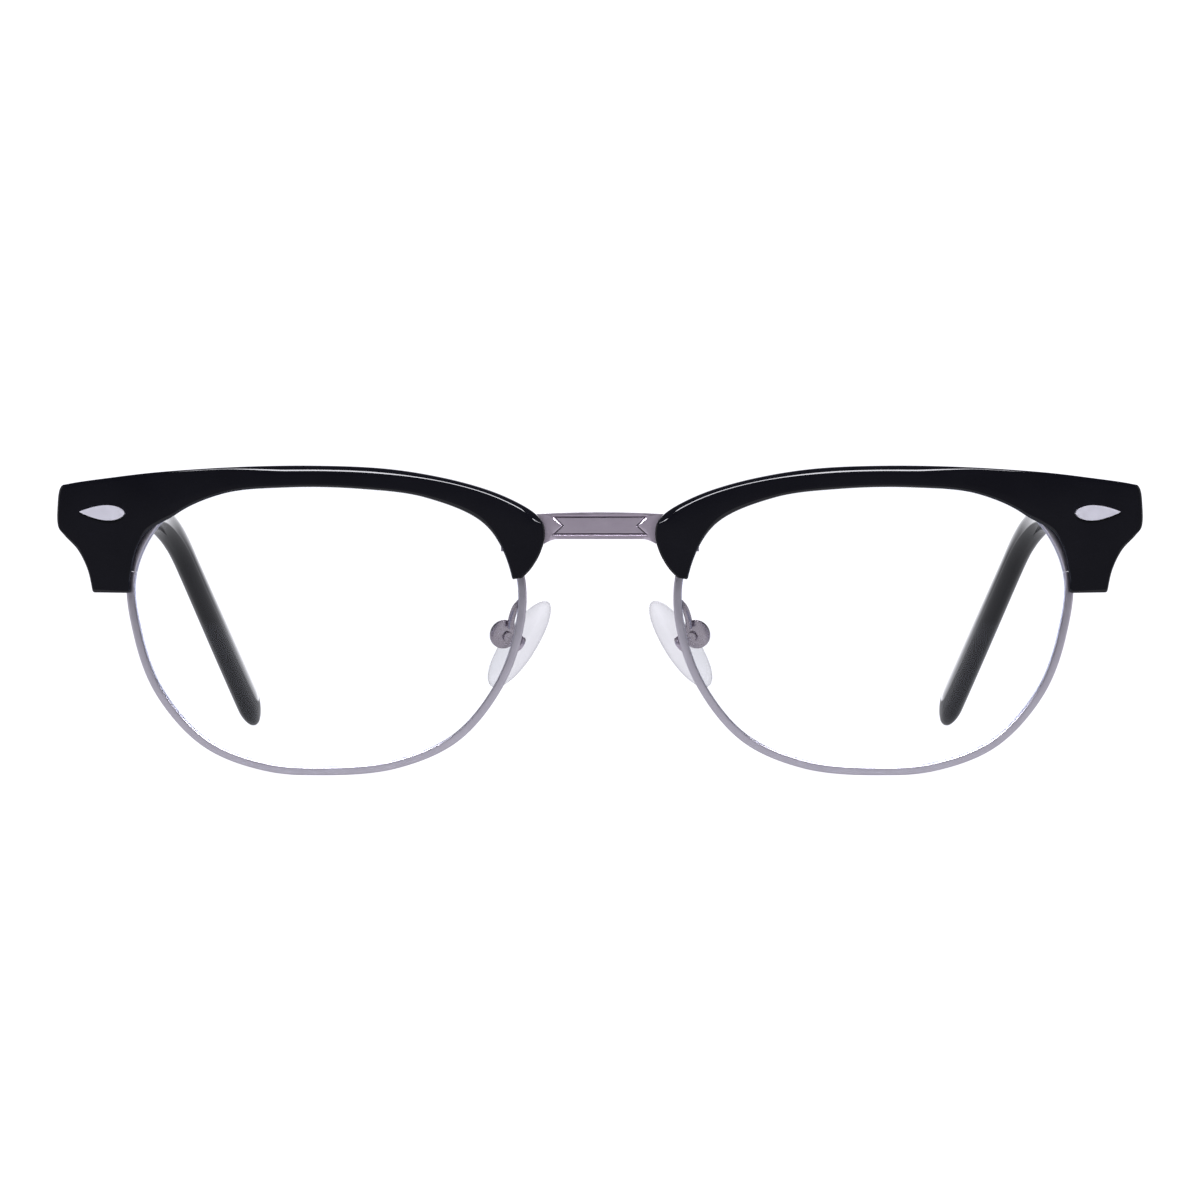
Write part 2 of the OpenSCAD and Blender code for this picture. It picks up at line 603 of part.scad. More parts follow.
// ---- Bridge: flat bar that runs behind both brows and is brazed behind the rims. Its face has a
// panel with notched ends, outlined by an engraved groove
function bridge_top(x) = bridge_z + bridge_h / 2 - bridge_arch * x * x;
function bridge_low(x) = bridge_z - bridge_h / 2 - 1.6 * smooth((abs(x) - 5.6) / 4);
panel = [[-panel_x, -panel_h / 2], [panel_x, -panel_h / 2], [panel_x - panel_notch, 0],
         [panel_x, panel_h / 2], [-panel_x, panel_h / 2], [panel_notch - panel_x, 0]];
module on_bridge() { translate([0, bridge_front - mid_y, bridge_z]) children(); }
module groove(a, b) {
    d = b - a;
    on_bridge() translate([a[0], 0, a[1]]) rotate([0, -atan2(d[1], d[0]), 0]) rotate([45, 0, 0])
        translate([-0.1, -groove_w / 2, -groove_w / 2]) cube([norm(d) + 0.2, groove_w, groove_w]);
}
module bridge() {
    xs = [for (i = [-24:24]) bridge_reach * i / 24];
    color(GUNMETAL)
    difference() {
        slab(bridge_front, bridge_front + bridge_t) polygon(concat(
            [for (x = xs) [x, bridge_top(x)]],
            [for (i = [len(xs) - 1:-1:0]) [xs[i], bridge_low(xs[i])]]));
        on_bridge() rotate([90, 0, 0]) translate([0, 0, -panel_depth]) linear_extrude(1) polygon(panel);
        for (i = [0:5]) groove(panel[i], panel[(i + 1) % 6]);
        for (s = [-1, 1])
            translate([s * nasal_screw[0], -1 - mid_y, nasal_screw[1]]) facing_back()
                cylinder(6, small_screw_r + run_fit, small_screw_r + run_fit, $fn = ROUND);
    }
}
module nasal_screw() {
    y = bridge_front + bridge_t + 0.03;
    color(STEEL) translate([nasal_screw[0], y - mid_y, nasal_screw[1]]) facing_back()
        screw(small_screw_r, 3.2, small_head_r, small_head_t);
}

// ---- Nodes: each side part once as built, and once mirrored for the wearer's right
module side(name) {
    children();
    mirror([1, 0, 0]) children();
}
bridge();
side("rim") rim();
side("lens") lens();
side("brow") brow();
side("plaque") plaque();
side("closing_block_upper") closing_block_upper();
side("closing_block_lower") closing_block_lower();
side("closing_screw") closing_screw();
side("endpiece") endpiece();
side("hinge_front") hinge_front();
side("hinge_rear") hinge_rear();
side("hinge_screw") hinge_screw();
side("brow_screws") brow_screws();
side("nasal_screw") nasal_screw();
side("temple") temple();
side("temple_screws") temple_screws();
side("core_wire") core_wire();
side("pad_arm") pad_arm();
side("pad_box") pad_box();
side("pad_screw") pad_screw();
side("pad_insert") pad_insert();
side("nose_pad") nose_pad();
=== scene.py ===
"""Half rim (browline) eyeglasses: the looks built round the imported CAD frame.

Lengths are millimetres here and become metres when a mesh is made. The frame is the CAD's:
+Z up, the front faces -Y, +X is the wearer's left, the floor is z = 0.
"""

import math

import bpy
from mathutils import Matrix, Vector


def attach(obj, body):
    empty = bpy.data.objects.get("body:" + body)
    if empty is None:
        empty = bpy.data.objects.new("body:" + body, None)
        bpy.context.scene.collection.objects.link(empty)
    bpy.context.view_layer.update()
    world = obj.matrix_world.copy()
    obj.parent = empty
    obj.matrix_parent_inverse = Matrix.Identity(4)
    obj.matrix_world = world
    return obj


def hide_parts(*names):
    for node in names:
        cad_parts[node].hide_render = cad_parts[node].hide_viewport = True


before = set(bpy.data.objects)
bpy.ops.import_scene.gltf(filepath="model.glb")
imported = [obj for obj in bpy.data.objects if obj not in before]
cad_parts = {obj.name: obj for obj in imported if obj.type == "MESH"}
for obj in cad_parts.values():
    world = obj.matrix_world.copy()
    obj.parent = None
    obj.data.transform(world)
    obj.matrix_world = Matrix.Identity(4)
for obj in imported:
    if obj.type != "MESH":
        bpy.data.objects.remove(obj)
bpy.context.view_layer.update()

MM = 0.001
SIDES = (("left", 1), ("right", -1))
SCREWS = ("closing_screw", "brow_screws", "nasal_screw", "temple_screws", "hinge_screw")

# ---- The design's own values, as in the CAD
lens_gap, eye_w, face_form, base_r = 21.7, 49.9, 5.0, 132.0
rim_w, rim_d, lens_t, groove_d, bevel_d = 1.1, 2.0, 1.5, 0.5, 0.4
lip_t, brow_back, brow_crown, lip_in, lip_out, lip_show = 0.9, 2.2, 0.12, 0.55, 0.5, 0.3
temple_h, tip_h, temple_t, waist_h = 6.4, 6.9, 3.4, 4.6
temple_straight, ear_bend, ear_bend_r, tail_in = 76.5, 40.0, 28.0, 11.5
pad_l, pad_w, pad_t, arm_wire = 13.5, 7.8, 2.3, 0.9
gap, saw_cut = 0.05, 0.006
bridge_z, bridge_front = 32.5, 1.8
panel_x, panel_h, panel_notch = 6.0, 2.2, 1.2
eye_x, eye_z = lens_gap / 2 + eye_w / 2, 19.6
hinge_x = eye_x + 28.35
seat_y, butt_y = 7.65, 10.2
step_x = hinge_x + 2.1
block_x, block_w = eye_x + 26.3, 2.5
temple_x, temple_y, temple_z, temple_round = eye_x + 32.7, butt_y + 0.15, 34.4, 1.4
turn_from, turn_len = temple_straight - 4.8, 16.0
cap_len = 6.0
tail_crown, crown_grows = 0.4, 25

EYE = [(24.95, 26.4), (24.2, 18.4), (21.3, 10.9), (15.5, 4.6), (7.7, 1.6), (-0.7, 1.1),
       (-9.1, 2.0), (-16.5, 5.2), (-21.7, 11.2), (-24.6, 18.4), (-24.9, 26.0), (-21.3, 33.0),
       (-13.5, 36.6), (-4.7, 37.8), (4.7, 38.0), (13.7, 37.1), (21.1, 33.4)]
BROW = [(9.95, -25.75, 25.7), (10.15, -26.95, 27.0), (10.4, -28.05, 28.9), (10.65, -28.65, 31.1),
        (10.95, -28.2, 33.2), (11.3, -25.95, 35.1), (11.8, -21.3, 37.2), (12.4, -14.9, 38.9),
        (13, -7.3, 40.0), (14, 2.3, 40.35), (14.8, 11.7, 40.15), (15.6, 21.7, 39.55),
        (16.05, 28.7, 38.8), (16.3, 33.9, 38.1), (16.4, 35.3, 37.5), (16.55, 35.65, 35.0),
        (16.68, 35.55, 32.5), (16.78, 34.6, 31.2), (16.92, 32.75, 29.3), (17.1, 31.4, 26.7),
        (17.34, 30.7, 23.75)]


# ---- Curves
def mix(a, b, f):
    return a + (b - a) * f


def smooth(f):
    c = max(0.0, min(1.0, f))
    return c * c * (3 - 2 * c)


def spline(a, b, c, d, f):
    return b + 0.5 * f * (c - a + f * (2 * a - 5 * b + 4 * c - d + f * (3 * (b - c) + d - a)))


def loop_at(points, t):
    n, i = len(points), math.floor(t)
    p = [Vector(points[(i + k) % n]) for k in (-1, 0, 1, 2)]
    return spline(*p, t - i)


def run_at(points, t):
    n = len(points) - 1
    t = max(0.0, min(n, t))
    i = min(math.floor(t), n - 1)
    p = [Vector(points[k]) for k in (max(i - 1, 0), i, i + 1, min(i + 2, n))]
    return spline(*p, t - i)


def face(x, z):
    """Depth of the middle of the lens and rim behind the lens plane."""
    tilt = math.tan(math.radians(face_form)) * (x - eye_x)
    return tilt + ((x - eye_x) ** 2 + (z - eye_z) ** 2) / (2 * base_r)


def eye(t):
    return loop_at(EYE, t) + Vector((eye_x, 0))


def eye_out(t):
    d = (eye(t + 0.01) - eye(t - 0.01)).normalized()
    return Vector((-d.y, d.x))


# ---- Temple line, as in the CAD
bend_len = ear_bend_r * math.radians(ear_bend)
sin_bend, cos_bend = math.sin(math.radians(ear_bend)), math.cos(math.radians(ear_bend))
turn_r = turn_len / math.radians(tail_in)
cap_drop = math.hypot(cap_len * sin_bend, tip_h / 2 * cos_bend)
cap_reach = math.hypot(cap_len * cos_bend, tip_h / 2 * sin_bend)
tail_len = (temple_z - ear_bend_r * (1 - cos_bend) - cap_drop) / sin_bend
temple_len = temple_straight + bend_len + tail_len
tip_y = temple_y + temple_straight + ear_bend_r * sin_bend + tail_len * cos_bend + cap_reach
mid_y = (tip_y - 1.6) / 2


def at_face(p, v):
    return Vector((p[0], face(p[0], p[1]) + v - mid_y, p[1]))


def placed(p):
    return Vector((p[0], p[1] - mid_y, p[2]))


# ---- Meshes
MADE = []


def make(name, points, faces, side, body, node, slot, angle=40):
    """A smooth-shaded piece, mirrored for the wearer's right, that stands for a CAD node."""
    mesh = bpy.data.meshes.new(name)
    mesh.from_pydata([(p[0] * side * MM, p[1] * MM, p[2] * MM) for p in points], [],
                     [f if side > 0 else tuple(reversed(f)) for f in faces])
    mesh.validate()
    mesh.shade_smooth()
    mesh.set_sharp_from_angle(angle=math.radians(angle))
    piece = bpy.data.objects.new(name, mesh)
    bpy.context.scene.collection.objects.link(piece)
    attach(piece, body)
    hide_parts(node)
    MADE.append((node.split("_", 1)[1], piece))


def loft(rings, caps=True):
    """Points and faces of quads between rings. The rings turn so that faces look outwards."""
    n = len(rings[0])
    points = [p for ring in rings for p in ring]
    faces = [(i * n + j, i * n + (j + 1) % n, (i + 1) * n + (j + 1) % n, (i + 1) * n + j)
             for i in range(len(rings) - 1) for j in range(n)]
    if caps:
        faces.append(tuple(reversed(range(n))))
        faces.append(tuple(range((len(rings) - 1) * n, len(rings) * n)))
    return points, faces


def rounded(corners, radii, steps=3):
    """A closed section with each corner turned into a short curve."""
    n, out = len(corners), []
    for i, p in enumerate(corners):
        before, after = corners[i - 1] - p, corners[(i + 1) % n] - p
        cut = min(radii[i], 0.42 * before.length, 0.42 * after.length)
        a = p + before.normalized() * cut if before.length > 1e-6 else p.copy()
        b = p + after.normalized() * cut if after.length > 1e-6 else p.copy()
        for k in range(steps + 1):
            f = k / steps
            out.append(a * (1 - f) ** 2 + p * 2 * f * (1 - f) + b * f * f)
    return out


def rounded_end(end, way, radius, steps=4):
    """Rings that round a loft's end off, from the end's smallest to its full section."""
    middle = sum(end, Vector()) / len(end)
    made = []
    for k in range(steps, -1, -1):
        a = math.pi / 2 * k / steps
        back, inset = radius * (1 - math.sin(a)), radius * (1 - math.cos(a))
        made.append([p - way * back + (middle - p).normalized()
                     * min(inset, (middle - p).length * 0.8) for p in end])
    return made


def closed_ends(rings, first_radius, last_radius):
    """Rounds both ends of a loft off. The first and last rings give way to the new ones, so
    the piece stays as long as it was."""
    out = list(rings)
    for flip, radius in ((False, first_radius), (True, last_radius)):
        seq = list(reversed(out)) if flip else out
        end = seq[0]
        way = sum((a - b for a, b in zip(end, seq[2])), Vector()).normalized()
        first = 1
        while sum((a - b).dot(way) for a, b in zip(end, seq[first])) / len(end) < radius * 1.3:
            first += 1
        seq = rounded_end(end, way, radius) + seq[first:]
        out = list(reversed(seq)) if flip else seq
    return out


# ---- Brow: glossy acetate, a lip before the rim and a body outside it
nose_back = 0.55


def back_at(x, z):
    """Depth of the brow's back: thin at the nose, then brow_back, then the endpiece's seat."""
    curved = face(x, z) + mix(nose_back, brow_back, smooth((x - 14) / 10))
    return mix(curved, seat_y, smooth((x - eye_x - 17) / 7))


def end_at(z):
    """Depth of the brow's end, which is deeper where the temple butts on it."""
    return mix(seat_y, butt_y, smooth((z - 28) / 3))


def brow_ring(k):
    """The brow's section at k along BROW, whose rows are a place on EYE and an outer point."""
    t, ox, oz = run_at(BROW, k)
    outer = Vector((ox + eye_x, oz))
    inset = mix(-lip_in, lip_out, smooth((t - 15.8) / 0.6))
    inset += lip_show * smooth((t - 16.1) / 0.4) * (1 - smooth((t - 16.6) / 0.4))
    out = eye_out(t)
    p = eye(t) + out * inset
    w = (outer - p).length
    e = (outer - p) / w
    # distances across the section, from the lens outwards: the lip clears the rim and the
    # closing block, the body starts at the wall and steps down once before its outer edge
    past_rim = (rim_w + 2 * gap - inset) / e.dot(out)
    past_block = (block_x + block_w + 2 * gap - p.x) / max(e.x, 0.1)
    at_block = smooth((31.6 - p.y) / 1.2) if t > 16 else 0.0
    wall = min(mix(past_rim, past_block, at_block), w - 0.45)
    body = smooth((w - past_rim - 0.5) / 1.5)
    far = max(w - 0.5, wall + 0.15)
    to_step = (step_x - p.x) / max(e.x, 0.1)
    deep_end = outer.x > step_x + 0.9
    stepped = deep_end and to_step > wall + 0.3
    if t > 15.5 and to_step > wall + 0.3:
        step = min(to_step, far - 0.2)
    else:
        step = mix(wall, far, 0.6)
    lip = -rim_d / 2 - gap
    front = lip - lip_t

    def at(u, v):
        return at_face(p + e * u, v)

    def rear(u, inner):
        q = p + e * u
        b = back_at(q.x, q.y)
        edge = b if inner else max(b, end_at(q.y))
        deep = edge if deep_end else b
        lip_y = face(q.x, q.y) + lip
        return Vector((q.x, mix(lip_y + 0.02, max(deep, lip_y + 0.02), body) - mid_y, q.y))

    # the front bevel is wide where the outline faces up, and narrow elsewhere
    run = run_at(BROW, k + 0.05) - run_at(BROW, k - 0.05)
    upward = smooth((run.y / math.hypot(run.y, run.z) - 0.35) / 0.35)
    upward *= 1 - smooth((t - 14.2) / 0.8)
    slope_w = mix(0.3, min(1.5, 0.4 * w), upward)
    slope_d = mix(0.3, mix(0.6, 1.15, body), upward)
    crown = brow_crown * smooth((w - 5) / 4)
    start = w - slope_w
    section = [at(0, front + 0.3), at(min(0.16, w * 0.12), front + 0.06),
               at(min(0.45, w * 0.24), front)]
    section += [at(mix(min(0.5, w * 0.26), start, f), front - crown * math.sin(math.pi * f * 0.9))
                for f in (0.2, 0.4, 0.6, 0.8, 0.93)]
    rise = front - crown * math.sin(math.pi * 0.9)
    for a in (6, 16, 26, 36, 46, 55, 64, 72, 80, 87):
        s, c = math.sin(math.radians(a)), math.cos(math.radians(a))
        section.append(at(start + slope_w * s, mix(rise, front + slope_d, 1 - c)))
    corners = [section[-1], rear(w, False) - Vector((0, 0.5 * body, 0)), rear(far, False),
               rear(step + 0.04, not stepped), rear(step, True), rear(wall, True), at(wall, lip),
               at(0, lip), section[0]]
    radii = [0, 0.5, 0.4, 0.12, 0.12, 0.15, 0.1, 0.12, 0]
    # the first and last corners are the section's own ends, each rounded() to four points
    return section + rounded(corners, radii)[4:-4]


def brow_rings():
    steps, nose_round, end_round = 12, 0.12, 0.28
    rings = [brow_ring(i / steps) for i in range((len(BROW) - 1) * steps + 1)]
    return closed_ends(rings, nose_round, end_round)


# ---- Rim: half-round wire with a groove for the lens. Corners are shares of its width outwards
# and of half its depth, then the radius of each.
RIM = [(0.12, 1), (0, 0.85), (0, 0.5), (groove_d / rim_w, 0), (0, -0.5), (0, -0.85),
       (0.12, -1), (0.85, -1), (1, -0.75), (1, 0.75), (0.85, 1)]
RIM_ROUND = [0.12, 0.12, 0.05, 0.03, 0.05, 0.12, 0.2, 0.25, 0.3, 0.3, 0.25]


def rim_rings():
    steps = 340
    rings = []
    for i in range(steps + 1):
        t = mix(saw_cut, len(EYE) - saw_cut, i / steps)
        p, out = eye(t), eye_out(t)
        corners = [at_face(p + out * (a * rim_w), b * rim_d / 2) for a, b in RIM]
        rings.append(rounded(corners, RIM_ROUND, 2))
    return rings


# ---- Lens
def lens_mesh():
    """Rings from the front's middle to the edge and back: share of the radius, share of half
    the thickness, and how far outside the eye's outline."""
    n = 204
    edge = [(0.12, 1, -gap), (0.25, 1, -gap), (0.4, 1, -gap), (0.55, 1, -gap), (0.7, 1, -gap),
            (0.83, 1, -gap), (0.93, 1, -gap), (0.985, 1, -gap), (1, 0.96, -gap), (1, 0.5, -gap),
            (1, 0, bevel_d)]
    edge += [(f, -v, o) for f, v, o in reversed(edge[:-1])]
    c = Vector((eye_x, eye_z))
    rings = [[at_face(mix(c, eye(len(EYE) * i / n) + eye_out(len(EYE) * i / n) * o, f),
                      v * lens_t / 2) for i in range(n)] for f, v, o in edge]
    points, faces = loft(rings, caps=False)
    total = len(points)
    points += [at_face(c, lens_t / 2), at_face(c, -lens_t / 2)]
    for j in range(n):
        faces.append((total, (j + 1) % n, j))
        faces.append((total + 1, total - n + j, total - n + (j + 1) % n))
    return points, faces


# ---- Temple: rounded bar, ear bend and tail
def bend_at(s):
    return math.radians(max(0.0, min(ear_bend, math.degrees((s - temple_straight) / ear_bend_r))))


def temple_at(s):
    a = bend_at(s)
    b = max(0.0, min(math.radians(tail_in), (s - turn_from) / turn_r))
    past = max(0.0, s - temple_straight - bend_len)
    past_turn = max(0.0, s - turn_from - turn_len)
    return Vector((temple_x - turn_r * (1 - math.cos(b)) - past_turn * math.sin(b),
                   temple_y + min(s, temple_straight) + ear_bend_r * math.sin(a)
                   + past * math.cos(a),
                   temple_z - ear_bend_r * (1 - math.cos(a)) - past * math.sin(a)))


def height_at(s):
    if s < temple_straight:
        return mix(temple_h, waist_h, smooth(s / temple_straight))
    return mix(waist_h, tip_h, smooth((s - temple_straight) / (bend_len + tail_len)))


def temple_ring(s):
    """The section s along the temple. Its broad sides are crowned on the tail."""
    over = max(0.0, s - temple_len) / cap_len
    shrink = math.sqrt(max(0.0, 1 - over * over))
    a = bend_at(s)
    way = (temple_at(s + 0.05) - temple_at(s - 0.05)).normalized()
    up = Vector((0, math.sin(a), math.cos(a)))
    side = way.cross(up).normalized()
    h = max(height_at(min(s, temple_len)) * shrink, 0.3)
    w = temple_t * max(shrink, 0.12)
    r = min(temple_round, w * 0.42, h * 0.42)
    crown = tail_crown * smooth((s - temple_straight) / crown_grows)
    section = []
    for cx, cz, first in ((1, 1, 0), (-1, 1, 90), (-1, -1, 180), (1, -1, 270)):
        for k in range(7):
            b = math.radians(first + 15 * k)
            section.append((cx * (w / 2 - r) + r * math.cos(b),
                            cz * (h / 2 - r) + r * math.sin(b)))
        if cx != cz:
            section += [(cx * w / 2, cz * (h / 2 - r) * (1 - 2 * k / 5)) for k in range(1, 5)]
    return [placed(temple_at(s) + side * x * (1 - crown * (2 * z / h) ** 2) + up * z)
            for x, z in section]


def temple_rings():
    """Rings from the butt's eased edge, along the straight and the bend, to the round tip."""
    front = [(0.0, 0.35), (0.03, 0.2), (0.1, 0.1), (0.2, 0.03), (0.35, 0.0)]
    rings = []
    for s, inset in front:
        ring = temple_ring(s)
        middle = sum(ring, Vector()) / len(ring)
        rings.append([p + (middle - p).normalized() * inset for p in ring])
    stops = [i * temple_straight / 60 for i in range(1, 61)]
    stops += [temple_straight + i * (bend_len + tail_len) / 80 for i in range(1, 81)]
    stops += [temple_len + cap_len * math.sin(math.radians(a))
              for a in (8, 16, 24, 32, 40, 48, 56, 64, 72, 79, 85, 90)]
    return rings + [temple_ring(s) for s in stops]


# ---- Nose pad: a soft oval cushion, and the wire arm that carries it
pad_centre = Vector((lens_gap / 2 - 0.3, 8.7, 16.85))
pad_up = Vector((-0.559, 0, 0.829)).normalized()
pad_face = pad_up.cross(Vector((-0.8, 0.45, -0.35)).cross(pad_up)).normalized()
pad_side = pad_up.cross(pad_face)
pivot_back, disc_off, lug_t, ear_gap, ear_t = 2.65, 0.6, 1.0, 0.06, 0.4


def on_pad(x, y, z):
    return placed(pad_centre + pad_side * x + pad_up * y + pad_face * z)


def pad_rings():
    """Rings from the nose side to the back: share of the outline, and height in thicknesses."""
    n = 64
    profile = [(0.06, 0.5), (0.2, 0.497), (0.36, 0.485), (0.52, 0.455), (0.68, 0.4), (0.8, 0.33),
               (0.9, 0.235), (0.965, 0.13), (0.995, 0.02), (0.995, -0.1), (0.965, -0.22),
               (0.905, -0.33), (0.82, -0.41), (0.7, -0.465), (0.5, -0.49), (0.25, -0.5),
               (0.06, -0.5)]
    rings = []
    for f, z in profile:
        ring = []
        for i in range(n):
            a = 2 * math.pi * i / n
            low = 1 - 0.1 * math.sin(a)
            ring.append(on_pad(pad_w / 2 * low * math.cos(a) * f,
                               pad_l / 2 * math.sin(a) * f, z * pad_t))
        rings.append(ring)
    return rings


arm_end = (pad_centre - pad_face * (pivot_back + disc_off) + pad_up * 1.15
           + pad_side * (lug_t / 2 + ear_gap + ear_t + arm_wire / 2 + 0.03))
ARM = [Vector((lens_gap / 2 - 0.55, 1.9, 22.2)), Vector((lens_gap / 2 - 0.35, 3.2, 22.4)),
       Vector((lens_gap / 2 + 0.25, 4.5, 21.7)), arm_end + Vector((-0.15, -0.5, 1.3)), arm_end]


def tube(path, radii):
    sides, rings = 20, []
    for i, p in enumerate(path):
        way = (path[min(i + 1, len(path) - 1)] - path[max(i - 1, 0)]).normalized()
        u = way.cross(Vector((1, 0, 0.2))).normalized()
        v = u.cross(way)
        rings.append([p + (u * math.cos(a) + v * math.sin(a)) * radii[i]
                      for a in (2 * math.pi * k / sides for k in range(sides))])
    return rings


def arm_mesh():
    n = 60
    path = [placed(run_at(ARM, i * (len(ARM) - 1) / n)) for i in range(n + 1)]
    points, faces = loft(closed_ends(tube(path, [arm_wire / 2] * (n + 1)), 0.12, 0.12))
    foot = ARM[0]
    back = face(foot.x, foot.z) + rim_d / 2 + gap
    profile = [(0, 0.75), (0.12, 0.75), (0.25, 0.7), (0.38, 0.6), (0.5, 0.52), (0.6, 0.46)]
    base = len(points)
    more, more_faces = loft(tube([placed((foot.x, back + y, foot.z)) for y, _ in profile],
                                 [r for _, r in profile]))
    points += more
    faces += [tuple(i + base for i in f) for f in more_faces]
    return points, faces


for name, side in SIDES:
    make(f"{name}_brow_polished", *loft(brow_rings()), side, "front", f"{name}_brow",
         "acetate", 32)
    make(f"{name}_rim_wire", *loft(rim_rings()), side, "front", f"{name}_rim", "gunmetal", 50)
    make(f"{name}_lens_clear", *lens_mesh(), side, "front", f"{name}_lens", "lens", 30)
    make(f"{name}_temple_polished", *loft(temple_rings()), side, f"{name}_arm", f"{name}_temple",
         "acetate", 60)
    make(f"{name}_nose_pad_soft", *loft(pad_rings()), side, f"{name}_pad", f"{name}_nose_pad",
         "silicone", 60)
    make(f"{name}_pad_arm_wire", *arm_mesh(), side, "front", f"{name}_pad_arm", "gunmetal", 40)


# ---- Metal pieces from the CAD: edges eased by modifiers
def ease(node, width):
    """Rounds a metal piece's sharp edges off by a width in millimetres."""
    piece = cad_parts[node]
    weld = piece.modifiers.new("weld", "WELD")
    weld.merge_threshold = 2e-6
    bevel = piece.modifiers.new("eased edges", "BEVEL")
    bevel.width = width * MM
    bevel.segments = 2
    bevel.limit_method = "ANGLE"
    bevel.angle_limit = math.radians(30)
    bevel.use_clamp_overlap = True
    normals = piece.modifiers.new("normals", "WEIGHTED_NORMAL")
    normals.keep_sharp = False
    normals.weight = 100


PLATES = ("closing_block_upper", "closing_block_lower", "endpiece", "hinge_front", "hinge_rear")
ease("bridge", 0.05)
for name, side in SIDES:
    for part in PLATES:
        ease(f"{name}_{part}", 0.08)
    for part in SCREWS + ("pad_box", "pad_insert", "pad_screw"):
        ease(f"{name}_{part}", 0.05)


# ---- Materials: two colours and two roughnesses for each metal, then the bump of its grain
GUNMETAL = ((0.72, 0.63, 0.74), (0.78, 0.69, 0.80), (0.28, 0.36))
SATIN = 0.015


def material(name):
    mat = bpy.data.materials.new(name)
    mat.use_nodes = True
    nodes, links = mat.node_tree.nodes, mat.node_tree.links
    nodes.clear()
    out = nodes.new("ShaderNodeOutputMaterial")
    return mat, nodes, links, out


def noise(nodes, links, coords, scale, detail):
    tex = nodes.new("ShaderNodeTexNoise")
    tex.inputs["Scale"].default_value = scale
    tex.inputs["Detail"].default_value = detail
    links.new(coords, tex.inputs["Vector"])
    return tex.outputs["Fac"]


def ramp(nodes, links, fac, low, high, start=0.3, end=0.7):
    """Goes from low to high as fac goes from start to end."""
    node = nodes.new("ShaderNodeMapRange")
    node.inputs["From Min"].default_value = start
    node.inputs["From Max"].default_value = end
    node.inputs["To Min"].default_value = low
    node.inputs["To Max"].default_value = high
    links.new(fac, node.inputs["Value"])
    return node.outputs["Result"]


def tint(nodes, links, fac, low, high):
    node = nodes.new("ShaderNodeMix")
    node.data_type = "RGBA"
    node.inputs["A"].default_value = (*low, 1)
    node.inputs["B"].default_value = (*high, 1)
    links.new(fac, node.inputs["Factor"])
    return node.outputs["Result"]


def math_node(nodes, links, operation, *values):
    """A Math node whose inputs are numbers or other nodes' outputs."""
    node = nodes.new("ShaderNodeMath")
    node.operation = operation
    for slot, value in zip(node.inputs, values):
        if isinstance(value, float):
            slot.default_value = value
        else:
            links.new(value, slot)
    return node.outputs["Value"]


def blend(nodes, links, fac, first, second, into):
    """Leads a mix of two shaders into a socket."""
    node = nodes.new("ShaderNodeMixShader")
    links.new(fac, node.inputs["Fac"])
    links.new(first, node.inputs[1])
    links.new(second, node.inputs[2])
    links.new(node.outputs["Shader"], into)


def bump(nodes, links, height, strength, distance):
    node = nodes.new("ShaderNodeBump")
    node.inputs["Strength"].default_value = strength
    node.inputs["Distance"].default_value = distance
    links.new(height, node.inputs["Height"])
    return node.outputs["Normal"]


def acetate():
    mat, nodes, links, out = material("black acetate")
    coords = nodes.new("ShaderNodeTexCoord").outputs["Object"]
    shader = nodes.new("ShaderNodeBsdfPrincipled")
    cloud = noise(nodes, links, coords, 90, 4)
    links.new(tint(nodes, links, ramp(nodes, links, cloud, 0, 1), (0.0035, 0.0035, 0.0055),
                   (0.0055, 0.0055, 0.008)), shader.inputs["Base Color"])
    polish = noise(nodes, links, coords, 260, 5)
    links.new(ramp(nodes, links, polish, 0.05, 0.075), shader.inputs["Roughness"])
    wave = noise(nodes, links, coords, 110, 1)
    links.new(bump(nodes, links, wave, 0.05, 0.00008), shader.inputs["Normal"])
    shader.inputs["IOR"].default_value = 1.48
    links.new(shader.outputs["BSDF"], out.inputs["Surface"])
    return mat


def metal(name, low, high, rough, grain):
    """A metal between two colours and two roughnesses, with a fine grain."""
    mat, nodes, links, out = material(name)
    coords = nodes.new("ShaderNodeTexCoord").outputs["Object"]
    shader = nodes.new("ShaderNodeBsdfPrincipled")
    shader.inputs["Metallic"].default_value = 1.0
    cloud = noise(nodes, links, coords, 400, 4)
    links.new(tint(nodes, links, ramp(nodes, links, cloud, 0, 1), low, high),
              shader.inputs["Base Color"])
    fine = noise(nodes, links, coords, 2600, 3)
    links.new(ramp(nodes, links, fine, *rough), shader.inputs["Roughness"])
    links.new(bump(nodes, links, fine, grain, 0.00002), shader.inputs["Normal"])
    links.new(shader.outputs["BSDF"], out.inputs["Surface"])
    return mat


